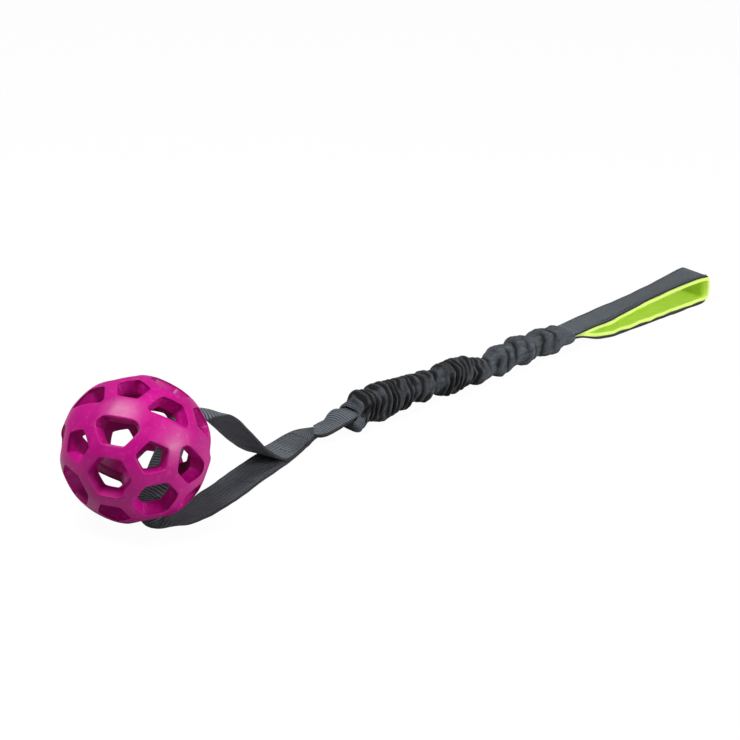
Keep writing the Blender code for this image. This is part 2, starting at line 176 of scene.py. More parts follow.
def stripFrame(rows, distances, across, d):
    # middle, sideways and up directions, and curl of a strip at distance d along its route
    here = rowAt(rows, distances, d)
    before = Vector(rowAt(rows, distances, max(d - 0.5 * mm, 0.0))[:3])
    after = Vector(rowAt(rows, distances, min(d + 0.5 * mm, distances[-1]))[:3])
    ahead = (after - before).normalized()
    flat = (across - across.dot(ahead) * ahead).normalized()
    up = ahead.cross(flat)
    roll = here[4]
    flat, up = flat * math.cos(roll) + up * math.sin(roll), up * math.cos(roll) - flat * math.sin(roll)
    return Vector(here[:3]), flat, up, here[3]


def stripPoint(frameHere, side, wide):
    # a point of the strip's cross-section, side from -0.5 to 0.5, and the direction square to it
    middle, flat, up, curl = frameHere
    if abs(curl) < 1e-4:
        return middle + flat * side * wide, up
    radius = wide / curl
    turn = side * curl
    place = middle + flat * radius * math.sin(turn) + up * radius * (1 - math.cos(turn))
    return place, up * math.cos(turn) - flat * math.sin(turn)


def stripMesh(rows, across, width, cells, uneven=0.0):
    # a flat grid laid along a route whose rows are x, y, z, curl and roll, with a UV map in metres;
    # its "edge" values rise from 0 to 1 towards both long edges
    distances = measureRoute(rows)
    length = distances[-1]
    bm = bmesh.new()
    uvLayer = bm.loops.layers.uv.new("cloth")
    edgeLayer = bm.verts.layers.float.new("edge")
    bmesh.ops.create_grid(bm, x_segments=cells[0], y_segments=cells[1], size=0.5, calc_uvs=True)
    frames = {}
    for v in bm.verts:
        u, side = v.co.x + 0.5, v.co.y
        v[edgeLayer] = ease(0.34, 0.5, abs(side))
        d = u * length
        key = round(u * cells[0])
        if key not in frames:
            frames[key] = stripFrame(rows, distances, across, d)
        flat, up = frames[key][1:3]
        v.co = stripPoint(frames[key], side, width(d))[0]
        calm = uneven * ease(0.0, 0.04, min(d, length - d))
        v.co += up * calm * noise.noise(Vector((d * 70, side * 1.2, length * 10)))
        v.co += flat * calm * 0.7 * noise.noise(Vector((d * 110 + 5, side * 0.8, length * 10)))
    wide = width(length / 2)
    for face in bm.faces:
        for loop in face.loops:
            uv = loop[uvLayer].uv
            uv.x, uv.y = uv.x * length, uv.y * wide
    return bm, length


def sewRow(bm, place, length, stitch=2.3 * mm, gap=0.9 * mm, thread=0.28 * mm):
    # a row of stitches; place gives a surface point and its outward direction at a distance along the row
    count = max(1, round(length / (stitch + gap)))
    pitch = length / count
    # one stitch is a short rod with five rings of vertices
    rod = bmesh.new()
    bmesh.ops.create_cone(rod, cap_ends=True, segments=6, radius1=thread, radius2=thread, depth=1.0)
    sides = [edge for edge in rod.edges if edge.verts[0].co.z * edge.verts[1].co.z < 0]
    bmesh.ops.subdivide_edges(rod, edges=sides, cuts=3)
    mesh = bpy.data.meshes.new("stitch")
    rod.to_mesh(mesh)
    rod.free()
    for i in range(count):
        bm.from_mesh(mesh)
        bm.verts.ensure_lookup_table()
        verts = bm.verts[-len(mesh.vertices):]
        rings = [[v for v in verts if round(v.co.z * 4) == k - 2] for k in range(5)]
        # the rings are laid along the surface, and the middle one stands proud
        for k, ring in enumerate(rings):
            t = (i + 0.5) * pitch + (k / 4 - 0.5) * (pitch - gap)
            point, out = place(t)
            ahead = (place(t + 0.1 * mm)[0] - place(t - 0.1 * mm)[0]).normalized()
            beside = ahead.cross(out)
            lift = thread * (1.3 * math.sin(math.pi * k / 4) - 0.8)
            for v in ring:
                v.co = point + out * (lift + v.co.x) + beside * v.co.y
    bpy.data.meshes.remove(mesh)


def giveThickness(piece, thickness, offset=0.0, edge=0.45 * mm):
    # webbing and cloth are grids with a live wall and softened edges
    wall = piece.modifiers.new("wall", "SOLIDIFY")
    wall.thickness = thickness
    wall.offset = offset
    soft = piece.modifiers.new("edges", "BEVEL")
    soft.width = edge
    soft.segments = 3
    soft.limit_method = "ANGLE"
    soft.angle_limit = math.radians(60)


# materials

def makeRubber():
    # natural rubber, coloured through and moulded: saturated magenta, satin, light sinks in a little
    look = {
        "deep": "#940064", "bright": "#BC0082", "bloom": "#D85CB4", "rough": (0.28, 0.48),
        "grainMm": 0.7, "swellMm": 9, "patchMm": 14, "bloomMm": 3.2, "bloomShare": 0.27,
    }
    material, tree, shader = startMaterial("naturalRubber", 0.42, 0.28)
    place = addNode(tree, "ShaderNodeTexCoord").outputs["Object"]
    patches = addNode(tree, "ShaderNodeTexNoise", {}, {
        "Vector": place, "Scale": 1000 / look["patchMm"], "Detail": 3.0, "Roughness": 0.55})
    colour = addNode(tree, "ShaderNodeMix", {"data_type": "RGBA"}, {
        0: patches.outputs[0], 6: linearColour(look["deep"]), 7: linearColour(look["bright"])})
    # faint pale scuffs and bloom, as handled rubber has
    scuffs = addNode(tree, "ShaderNodeTexNoise", {}, {
        "Vector": place, "Scale": 1000 / look["bloomMm"], "Detail": 6.0, "Roughness": 0.7})
    share = addNode(tree, "ShaderNodeMapRange", {}, {
        "Value": scuffs.outputs[0], "From Min": 0.54, "From Max": 0.72, "To Max": look["bloomShare"]})
    scuffed = addNode(tree, "ShaderNodeMix", {"data_type": "RGBA"}, {
        0: share.outputs[0], 6: colour.outputs[2], 7: linearColour(look["bloom"])})
    tree.links.new(scuffed.outputs[2], shader.inputs["Base Color"])
    rough = addNode(tree, "ShaderNodeMapRange", {}, {
        "Value": patches.outputs[0], "From Min": 0.3, "From Max": 0.7,
        "To Min": look["rough"][0], "To Max": look["rough"][1]})
    tree.links.new(rough.outputs[0], shader.inputs["Roughness"])
    grain = addNode(tree, "ShaderNodeTexNoise", {}, {
        "Vector": place, "Scale": 1000 / look["grainMm"], "Detail": 2.0})
    swell = addNode(tree, "ShaderNodeTexNoise", {}, {
        "Vector": place, "Scale": 1000 / look["swellMm"], "Detail": 1.0})
    big = addNode(tree, "ShaderNodeBump", {}, {
        "Height": swell.outputs[0], "Strength": 0.35, "Distance": 0.6 * mm})
    fine = addNode(tree, "ShaderNodeBump", {}, {
        "Height": grain.outputs[0], "Strength": 0.25, "Distance": 0.08 * mm, "Normal": big.outputs[0]})
    tree.links.new(fine.outputs[0], shader.inputs["Normal"])
    shader.inputs["Subsurface Weight"].default_value = 0.08
    shader.inputs["Subsurface Radius"].default_value = (1.0, 0.15, 0.35)
    shader.inputs["Subsurface Scale"].default_value = 2.0 * mm
    return material


def makeWebbing(name, base, groove):
    # woven webbing: ribs right across the width, fine warp ends along it, matt with a faint sheen;
    # the ribs are as far apart as the photo seems to show, at the coarse end for such webbing
    look = {"ribMm": 1.7, "warpMm": 0.55, "patchMm": 9, "rough": 0.72}
    material, tree, shader = startMaterial(name, look["rough"], 0.3)
    uv = addNode(tree, "ShaderNodeUVMap", {"uv_map": "cloth"}).outputs[0]
    parts = addNode(tree, "ShaderNodeSeparateXYZ", {}, {0: uv})
    sway = addNode(tree, "ShaderNodeTexNoise", {}, {"Vector": uv, "Scale": 160.0, "Detail": 1.0})
    shifted = addNode(tree, "ShaderNodeMath", {"operation": "MULTIPLY_ADD"}, {
        0: sway.outputs[0], 1: 0.9 * mm, 2: parts.outputs[0]})
    ribs = addNode(tree, "ShaderNodeMath", {"operation": "MULTIPLY"}, {
        0: shifted.outputs[0], 1: 2 * math.pi * 1000 / look["ribMm"]})
    ribWave = addNode(tree, "ShaderNodeMath", {"operation": "SINE"}, {0: ribs.outputs[0]})
    warps = addNode(tree, "ShaderNodeMath", {"operation": "MULTIPLY"}, {
        0: parts.outputs[1], 1: 2 * math.pi * 1000 / look["warpMm"]})
    warpWave = addNode(tree, "ShaderNodeMath", {"operation": "SINE"}, {0: warps.outputs[0]})
    weave = addNode(tree, "ShaderNodeMath", {"operation": "MULTIPLY_ADD"}, {
        0: warpWave.outputs[0], 1: 0.25, 2: ribWave.outputs[0]})
    height = addNode(tree, "ShaderNodeMapRange", {}, {
        "Value": weave.outputs[0], "From Min": -1.25, "From Max": 1.0})
    patches = addNode(tree, "ShaderNodeTexNoise", {}, {
        "Vector": uv, "Scale": 1000 / look["patchMm"], "Detail": 4.0})
    worn = addNode(tree, "ShaderNodeMix", {"data_type": "RGBA"}, {
        0: patches.outputs[0], 6: linearColour(base[0]), 7: linearColour(base[1])})
    # painted shade: in the grooves between the ribs the colour goes to the groove colour, nearly black
    colour = addNode(tree, "ShaderNodeMix", {"data_type": "RGBA"}, {
        0: height.outputs[0], 6: linearColour(groove), 7: worn.outputs[2]})
    # darker along both long edges
    edge = addNode(tree, "ShaderNodeAttribute", {"attribute_name": "edge"})
    tight = addNode(tree, "ShaderNodeMapRange", {}, {
        "Value": edge.outputs["Fac"], "From Min": 0.75, "From Max": 1.0, "To Max": 0.85})
    edged = addNode(tree, "ShaderNodeMix", {"data_type": "RGBA"}, {
        0: tight.outputs[0], 6: colour.outputs[2], 7: linearColour(groove)})
    tree.links.new(edged.outputs[2], shader.inputs["Base Color"])
    bump = addNode(tree, "ShaderNodeBump", {}, {
        "Height": height.outputs[0], "Strength": 0.8, "Distance": 0.35 * mm})
    tree.links.new(bump.outputs[0], shader.inputs["Normal"])
    shader.inputs["Sheen Weight"].default_value = 0.08
    shader.inputs["Sheen Roughness"].default_value = 0.5
    return material


def makeSleeveCloth():
    # plain-woven nylon, thin and matt: blue charcoal, with ribs round the tube, and painted shade that turns
    # the creases black;
    # the ribs are drawn coarser than the real threads, which are too fine to show
    look = {
        "lit": "#596069", "dark": "#181A1E", "crease": "#020203", "rough": 0.7, "ribMm": 1.3, "patchMm": 6,
    }
    material, tree, shader = startMaterial("wovenNylon", look["rough"], 0.25)
    uv = addNode(tree, "ShaderNodeUVMap", {"uv_map": "cloth"}).outputs[0]
    parts = addNode(tree, "ShaderNodeSeparateXYZ", {}, {0: uv})
    sway = addNode(tree, "ShaderNodeTexNoise", {}, {"Vector": uv, "Scale": 130.0, "Detail": 2.0})
    shifted = addNode(tree, "ShaderNodeMath", {"operation": "MULTIPLY_ADD"}, {
        0: sway.outputs[0], 1: 1.6 * mm, 2: parts.outputs[0]})
    phase = addNode(tree, "ShaderNodeMath", {"operation": "MULTIPLY"}, {
        0: shifted.outputs[0], 1: 2 * math.pi * 1000 / look["ribMm"]})
    ribs = addNode(tree, "ShaderNodeMath", {"operation": "SINE"}, {0: phase.outputs[0]})
    height = addNode(tree, "ShaderNodeMapRange", {}, {
        "Value": ribs.outputs[0], "From Min": -1.0, "From Max": 1.0})
    patches = addNode(tree, "ShaderNodeTexNoise", {}, {
        "Vector": uv, "Scale": 1000 / look["patchMm"], "Detail": 3.0})
    # painted shade in the troughs between the ribs, mixed with random patches of tone
    shade = addNode(tree, "ShaderNodeMath", {"operation": "MULTIPLY_ADD"}, {
        0: height.outputs[0], 1: 0.6, 2: patches.outputs[0]})
    toned = addNode(tree, "ShaderNodeMapRange", {}, {
        "Value": shade.outputs[0], "From Min": 0.35, "From Max": 1.2})
    colour = addNode(tree, "ShaderNodeMix", {"data_type": "RGBA", "clamp_factor": True}, {
        0: toned.outputs[0], 6: linearColour(look["dark"]), 7: linearColour(look["lit"])})
    # painted shade: the creases go black, the more so the deeper they are
    crease = addNode(tree, "ShaderNodeAttribute", {"attribute_name": "crease"})
    deep = addNode(tree, "ShaderNodeMapRange", {}, {
        "Value": crease.outputs["Fac"], "From Min": 0.14, "From Max": 0.5})
    folded = addNode(tree, "ShaderNodeMix", {"data_type": "RGBA"}, {
        0: deep.outputs[0], 6: colour.outputs[2], 7: linearColour(look["crease"])})
    tree.links.new(folded.outputs[2], shader.inputs["Base Color"])
    bump = addNode(tree, "ShaderNodeBump", {}, {
        "Height": height.outputs[0], "Strength": 0.7, "Distance": 0.3 * mm})
    tree.links.new(bump.outputs[0], shader.inputs["Normal"])
    shader.inputs["Sheen Weight"].default_value = 0.06
    return material


def makeFleece():
    # brushed polyester fleece: lime green, soft fuzz in small tufts, and a painted highlight that makes it
    # paler along the cut edges
    look = {
        "lit": "#DAF65E", "dark": "#C0E83C", "edge": "#D2EC84", "sheen": "#D6FF7A", "rough": 0.92,
        "tuftMm": 1.1, "patchMm": 7,
    }
    material, tree, shader = startMaterial("polyesterFleece", look["rough"], 0.15)
    place = addNode(tree, "ShaderNodeTexCoord").outputs["Object"]
    tufts = addNode(tree, "ShaderNodeTexNoise", {}, {
        "Vector": place, "Scale": 1000 / look["tuftMm"], "Detail": 4.0, "Roughness": 0.65})
    patches = addNode(tree, "ShaderNodeTexNoise", {}, {
        "Vector": place, "Scale": 1000 / look["patchMm"], "Detail": 2.0})
    shade = addNode(tree, "ShaderNodeMath", {"operation": "MULTIPLY_ADD"}, {
        0: tufts.outputs[0], 1: 0.7, 2: -0.35})
    blend = addNode(tree, "ShaderNodeMath", {"operation": "ADD"}, {
        0: shade.outputs[0], 1: patches.outputs[0]})
    colour = addNode(tree, "ShaderNodeMix", {"data_type": "RGBA", "clamp_factor": True}, {
        0: blend.outputs[0], 6: linearColour(look["dark"]), 7: linearColour(look["lit"])})
    # painted highlight: the cut edges are painted paler
    edge = addNode(tree, "ShaderNodeAttribute", {"attribute_name": "edge"})
    pale = addNode(tree, "ShaderNodeMapRange", {}, {
        "Value": edge.outputs["Fac"], "From Min": 0.3, "From Max": 0.8, "To Max": 0.65})
    edged = addNode(tree, "ShaderNodeMix", {"data_type": "RGBA"}, {
        0: pale.outputs[0], 6: colour.outputs[2], 7: linearColour(look["edge"])})
    tree.links.new(edged.outputs[2], shader.inputs["Base Color"])
    bump = addNode(tree, "ShaderNodeBump", {}, {
        "Height": tufts.outputs[0], "Strength": 0.7, "Distance": 0.5 * mm})
    tree.links.new(bump.outputs[0], shader.inputs["Normal"])
    shader.inputs["Subsurface Weight"].default_value = 0.35
    shader.inputs["Subsurface Radius"].default_value = (0.8, 1.0, 0.25)
    shader.inputs["Subsurface Scale"].default_value = 3.0 * mm
    shader.inputs["Sheen Weight"].default_value = 0.35
    shader.inputs["Sheen Roughness"].default_value = 0.4
    shader.inputs["Sheen Tint"].default_value = linearColour(look["sheen"])
    return material


def makeThread(name, colour):
    # bonded polyester sewing thread, a little shiny
    material, tree, shader = startMaterial(name, 0.45, 0.4)
    shader.inputs["Base Color"].default_value = linearColour(colour)
    return material


print("materials")
rubber = makeRubber()
webbing = makeWebbing("polypropyleneWebbing", ("#4F565E", "#6A727B"), "#0B0C0E")
elasticWeave = makeWebbing("wovenElastic", ("#1C1D20", "#25262A"), "#0E0E10")
nylon = makeSleeveCloth()
fleece = makeFleece()
darkThread = makeThread("darkPolyesterThread", "#1D1F23")
greyThread = makeThread("greyPolyesterThread", "#7C838B")


# the lattice ball: a cut-back 20-sided ball gives 12 five-sided and 20 six-sided holes,
# each a funnel in a thick wall

ball = {
    "diameter": 91.5 * mm,
    "wall": 9.0 * mm,
    "strut": 7.0 * mm,
    "innerStrut": 7.8 * mm,
    "rim": 1.1 * mm,
    "innerRim": 0.6 * mm,
    "holeRounding": 0.22,  # 0 keeps the corners, 1 makes round holes
    "roundness": 0.8,  # 0 keeps flat faces, 1 makes a true ball
    "edgeCuts": 3,
    "turn": (-9.4, 6.5, 174.8),  # degrees
    "sag": 0.967,  # height of the soft upper half against a true ball's
    "mouldAxis": Vector((-0.731, -0.515, 0.447)),  # before the turn, through the middle of a five-sided hole
    "belt": 7.7 * mm,  # plain belt where the two halves of the mould meet
    "beltShift": 1.1 * mm,  # of its middle, along the axis
    "centre": Vector((ballX, 0.0, 45.5 * mm)),
}


def faceTowards(faces, way):
    # the face whose middle lies most nearly that way from the ball's centre
    return max(faces, key=lambda face: face.calc_center_median().normalized().dot(way))


def openNet(bm, faces, strut, radius):
    # faces become a net of struts round open holes, which stop at the belt
    axis = faceTowards(faces, ball["mouldAxis"]).calc_center_median().normalized()
    beltHalf = ball["belt"] / ball["diameter"]
    beltMiddle = ball["beltShift"] * 2 / ball["diameter"]
    bmesh.ops.inset_individual(bm, faces=faces, thickness=strut / 2, depth=0.0, use_even_offset=True)
    for hole in faces:
        middle = hole.calc_center_median()
        mean = sum((v.co - middle).length for v in hole.verts) / len(hole.verts)
        for v in hole.verts:
            arm = v.co - middle
            v.co = middle + arm.normalized() * mix(arm.length, mean, ball["holeRounding"])
            side = math.copysign(1.0, middle.dot(axis))
            overlap = beltHalf - side * (v.co.normalized().dot(axis) - beltMiddle)
            if overlap > 0:
                v.co += axis * side * overlap * radius


def makeBall():
    bm = bmesh.new()
    radius = ball["diameter"] / 2
    innerRadius = radius - ball["wall"]
    bmesh.ops.create_icosphere(bm, subdivisions=1, radius=radius)
    bmesh.ops.bevel(
        bm, geom=bm.verts[:] + bm.edges[:], offset=100 / 3, offset_type="PERCENT",
        affect="VERTICES", segments=1, profile=0.5, material=-1,
    )
    corner = max(v.co.length for v in bm.verts)
    bmesh.ops.scale(bm, vec=(radius / corner,) * 3, verts=bm.verts)
    bmesh.ops.subdivide_edges(bm, edges=bm.edges[:], cuts=ball["edgeCuts"])
    holes = bm.faces[:]
    twin = bmesh.ops.duplicate(bm, geom=bm.verts[:] + bm.edges[:] + bm.faces[:])["geom"]
    innerVerts = [part for part in twin if isinstance(part, bmesh.types.BMVert)]
    innerHoles = [part for part in twin if isinstance(part, bmesh.types.BMFace)]
    bmesh.ops.scale(bm, vec=(innerRadius / radius,) * 3, verts=innerVerts)
    openNet(bm, holes, ball["strut"], radius)
    openNet(bm, innerHoles, ball["innerStrut"], innerRadius)
    for v in bm.verts:
        outer = v.co.length > (radius + innerRadius) / 2
        v.co = v.co.normalized() * mix(v.co.length, radius if outer else innerRadius, ball["roundness"])
    outerEdges = [edge for hole in holes for edge in hole.edges]
    innerEdges = [edge for hole in innerHoles for edge in hole.edges]
    pairs = []
    for hole in holes:
        way = hole.calc_center_median().normalized()
        pairs.append(hole.edges[:] + faceTowards(innerHoles, way).edges[:])
    bmesh.ops.delete(bm, geom=holes + innerHoles, context="FACES_ONLY")
    for edges in pairs:
        bmesh.ops.bridge_loops(bm, edges=edges)
    for edges, width, segments in ((outerEdges, ball["rim"], 3), (innerEdges, ball["innerRim"], 2)):
        bmesh.ops.bevel(
            bm, geom=edges, offset=width, offset_type="OFFSET", affect="EDGES",
            segments=segments, profile=0.5, material=-1, clamp_overlap=True,
        )
    turn = Euler([math.radians(a) for a in ball["turn"]]).to_matrix()
    bmesh.ops.rotate(bm, verts=bm.verts, cent=(0, 0, 0), matrix=turn)
    for v in bm.verts:
        v.co.z *= mix(1.0, ball["sag"], ease(0.0, 0.5 * radius, v.co.z))
    bmesh.ops.translate(bm, verts=bm.verts, vec=ball["centre"])
    bmesh.ops.recalc_face_normals(bm, faces=bm.faces)
    piece = finishPiece("latticeBall", bm, rubber, ["rubber_ball"])
    smooth = piece.modifiers.new("smooth", "SUBSURF")
    smooth.levels = 1
    smooth.render_levels = 1
    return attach(piece, "ball")


print("ball")
makeBall()


# the ball strap: one strip along the ground, up through the ball and back down to its own start

ballStrap = {
    "width": 24.0 * mm,
    # its ends narrow twice: to the seam and to the cut end, over these distances from the end
    "seamWidth": 20.0 * mm,
    "seamSpan": (14.0 * mm, 45.0 * mm),
    "endWidth": 9.0 * mm,
    "endSpan": (-2.0 * mm, 14.0 * mm),
    "endSlant": 0.5,  # the far edge of its sewn ends reaches this much further along, per metre across
    "slantSpan": (132.0 * mm, 155.0 * mm),  # from the ball's centre, as the next one
    "sewnEndShadeSpan": (110.0 * mm, 130.0 * mm),
    "sewnEndShade": 0.84,  # painted shade over the sewn ends, as an edge value where 1 is as dark as the long edges
    "stitchBox": (34.0 * mm, 14.0 * mm, 0.38),  # start and stop before the end, half width as a share
    "thickness": 1.6 * mm,
    "yaw": 12.0,  # degrees
    "cells": (300, 16),
    # distance from the ball's centre, y, z, curl, lean, in metres and radians
    "route": [
        (0.1570, 0.0150, 0.0038, 0.0, 0.0),
        (0.1400, 0.0138, 0.0034, 0.0, 0.0),
        (0.1180, 0.0092, 0.0012, 0.0, 0.0),
        (0.090, 0.0010, 0.0008, 0.0, 0.0),
        (0.066, -0.0075, 0.0008, 0.0, 0.0),
        (0.044, -0.0142, 0.0008, 0.0, 0.0),
        (0.029, -0.0178, 0.0008, 0.0, 0.03),
        (0.0167, -0.0206, 0.0008, 0.05, 0.13),
        (0.0077, -0.0226, 0.0008, 0.0, 0.28),
        (0.0006, -0.0228, 0.0010, -0.47, 0.42),
        (-0.0050, -0.0209, 0.0029, -1.42, 0.22),
        (-0.0091, -0.0201, 0.0077, -2.50, 0.0),
        (-0.0094, -0.0179, 0.0140, -3.20, 0.0),
        (-0.0063, -0.0130, 0.0197, -3.17, 0.0),
        (0.0000, -0.0116, 0.0241, -2.73, 0.0),
        (0.0069, -0.0091, 0.0307, -2.27, 0.0),
        (0.0137, -0.0066, 0.0378, -2.28, 0.0),
        (0.0200, -0.0046, 0.0458, -2.81, 0.0),
        (0.0255, -0.0036, 0.0535, -3.46, 0.0),
        (0.0324, -0.0048, 0.0599, -3.49, 0.0),
        (0.0408, -0.0056, 0.0609, -2.59, -0.05),
        (0.0492, -0.0049, 0.0578, -1.37, -0.15),
        (0.0580, -0.0010, 0.0521, -0.4, -0.20),
        (0.0690, 0.0015, 0.0432, -0.1, -0.20),
        (0.0790, 0.0035, 0.0324, 0.0, -0.16),
        (0.0890, 0.0055, 0.0220, 0.0, -0.12),
        (0.0985, 0.0068, 0.0130, 0.0, -0.08),
        (0.1080, 0.0078, 0.0064, 0.0, -0.05),
        (0.1165, 0.0088, 0.0034, 0.0, 0.0),
        (0.1240, 0.0103, 0.0034, 0.0, 0.0),
        (0.1400, 0.0138, 0.0053, 0.0, 0.0),
        (0.1570, 0.0150, 0.0057, 0.0, 0.0),
    ],
}


def makeBallStrap():
    rows = traceRoute([(ballX + x, y, z, curl, roll) for x, y, z, curl, roll in ballStrap["route"]])
    yaw = math.radians(ballStrap["yaw"])
    across = Vector((-math.sin(yaw), math.cos(yaw), 0.0))
    total = measureRoute(rows)[-1]

    def width(d):
        far = min(d, total - d)
        sewn = mix(ballStrap["seamWidth"], ballStrap["width"], ease(*ballStrap["seamSpan"], far))
        return mix(ballStrap["endWidth"], sewn, ease(*ballStrap["endSpan"], far))

    bm, length = stripMesh(rows, across, width, ballStrap["cells"], uneven=0.5 * mm)
    seamY = ballStrap["route"][0][1]
    uvLayer = bm.loops.layers.uv["cloth"]
    edgeLayer = bm.verts.layers.float["edge"]
    for v in bm.verts:
        v.co.z = max(v.co.z, ballStrap["thickness"] / 2)
        nearSeam = ease(*ballStrap["slantSpan"], v.co.x - ballX)
        shift = nearSeam * ballStrap["endSlant"] * (v.co.y - seamY)
        v.co.x += shift
        # the weave isn't sheared by the slanting cut, and painted shade darkens the stacked sewn ends
        for loop in v.link_loops:
            loop[uvLayer].uv.x += math.copysign(shift, loop[uvLayer].uv.x - length / 2)
        sewnEndShade = ballStrap["sewnEndShade"] * ease(*ballStrap["sewnEndShadeSpan"], v.co.x - ballX)
        v[edgeLayer] = max(v[edgeLayer], sewnEndShade)
    piece = finishPiece("ballWebbing", bm, webbing, ["ball_strap"])
    giveThickness(piece, ballStrap["thickness"])
    seam = Vector((ballX + 0.105, 0.0, 0.01))
    hole = Vector((ballX + 0.030, 0.0, 0.045))
    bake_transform(piece, "ball_loop", "ball", start=seam, end=hole)
    print("ball strap", round(length * 1000), "mm")

    # a box of dark stitches through both ends
    distances = measureRoute(rows)
    top = ballStrap["thickness"] / 2
    bm = bmesh.new()
    near, far = (total - back for back in ballStrap["stitchBox"][:2])
    half = ballStrap["stitchBox"][2]

    def place(d, side):
        point, out = stripPoint(stripFrame(rows, distances, across, d), side, width(d))
        return point + out * top, out

    for side in (-half, half):
        sewRow(bm, lambda t: place(near + t, side), far - near)
    for d in (near, far):
        sewRow(bm, lambda t: place(d, -half + t / width(d)), 2 * half * width(d))
    piece = finishPiece("seamStitches", bm, darkThread, [])
    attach(piece, "ball_loop")


makeBallStrap()


# the front tab: a folded strip sewn over the ball strap's ends and tucked into the sleeve

tab = {
    "width": 19.0 * mm,
    "thickness": 2.4 * mm,
    "startWidth": 11.0 * mm,
    "widening": (-2.0 * mm, 11.0 * mm),
    "skew": 15.0 * mm,  # its folded front edge runs aslant by this much over its width
    "skewSpan": 30.0 * mm,  # and this far along it runs straight again
    "lip": 0.2 * mm,  # the folded edge stands up by this much
    "wave": (0.6 * mm, 0.7 * mm),  # sideways and up
    "cells": (130, 24),
    "route": [
        (0.1550, 0.0142, 0.0066, -0.3, 0.0),
        (0.1590, 0.0140, 0.0066, -0.4, 0.0),
        (0.1630, 0.0138, 0.0068, -0.5, -0.04),
        (0.1680, 0.0137, 0.0074, -0.5, -0.05),
        (0.1740, 0.0137, 0.0098, -0.6, 0.03),
        (0.1800, 0.0136, 0.0111, -0.5, 0.06),
        (0.1860, 0.0134, 0.0101, -0.2, 0.0),
        (0.1940, 0.0130, 0.0090, 0.0, 0.0),
    ],
}


def makeTab():
    rows = traceRoute([(ballX + x, y, z, curl, roll) for x, y, z, curl, roll in tab["route"]])

    def width(d):
        return mix(tab["startWidth"], tab["width"], ease(*tab["widening"], d))

    bm, length = stripMesh(rows, Vector((0, 1, 0)), width, tab["cells"])
    start, startY = rows[0][0], rows[0][1]
    for v in bm.verts:
        back = v.co.x - start
        side = (v.co.y - startY) / tab["width"]
        v.co.x += tab["skew"] * side * (1 - ease(0.0, tab["skewSpan"], back))
        v.co.z += tab["lip"] * (1 - ease(1.5 * mm, 6.0 * mm, back))
        v.co.z += tab["wave"][1] * noise.noise(Vector((v.co.x * 120, v.co.y * 90, 3.0)))
        v.co.y += tab["wave"][0] * noise.noise(Vector((v.co.x * 150, side * 2, 9.0)))
    # the weave isn't sheared by the slanting fold
    uvLayer = bm.loops.layers.uv["cloth"]
    for face in bm.faces:
        for loop in face.loops:
            loop[uvLayer].uv.x = loop.vert.co.x - start
    piece = finishPiece("frontTab", bm, webbing, ["front_strap"])
    giveThickness(piece, tab["thickness"], edge=0.9 * mm)
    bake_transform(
        piece, "bungee", "ball_loop",
        start=Vector((ballX + 0.184, 0, 0)), end=Vector((ballX + 0.152, 0, 0)))


print("tab")
makeTab()


# the sleeve: a cloth tube gathered on stretched elastic, in tight folds in front and loose puffs behind

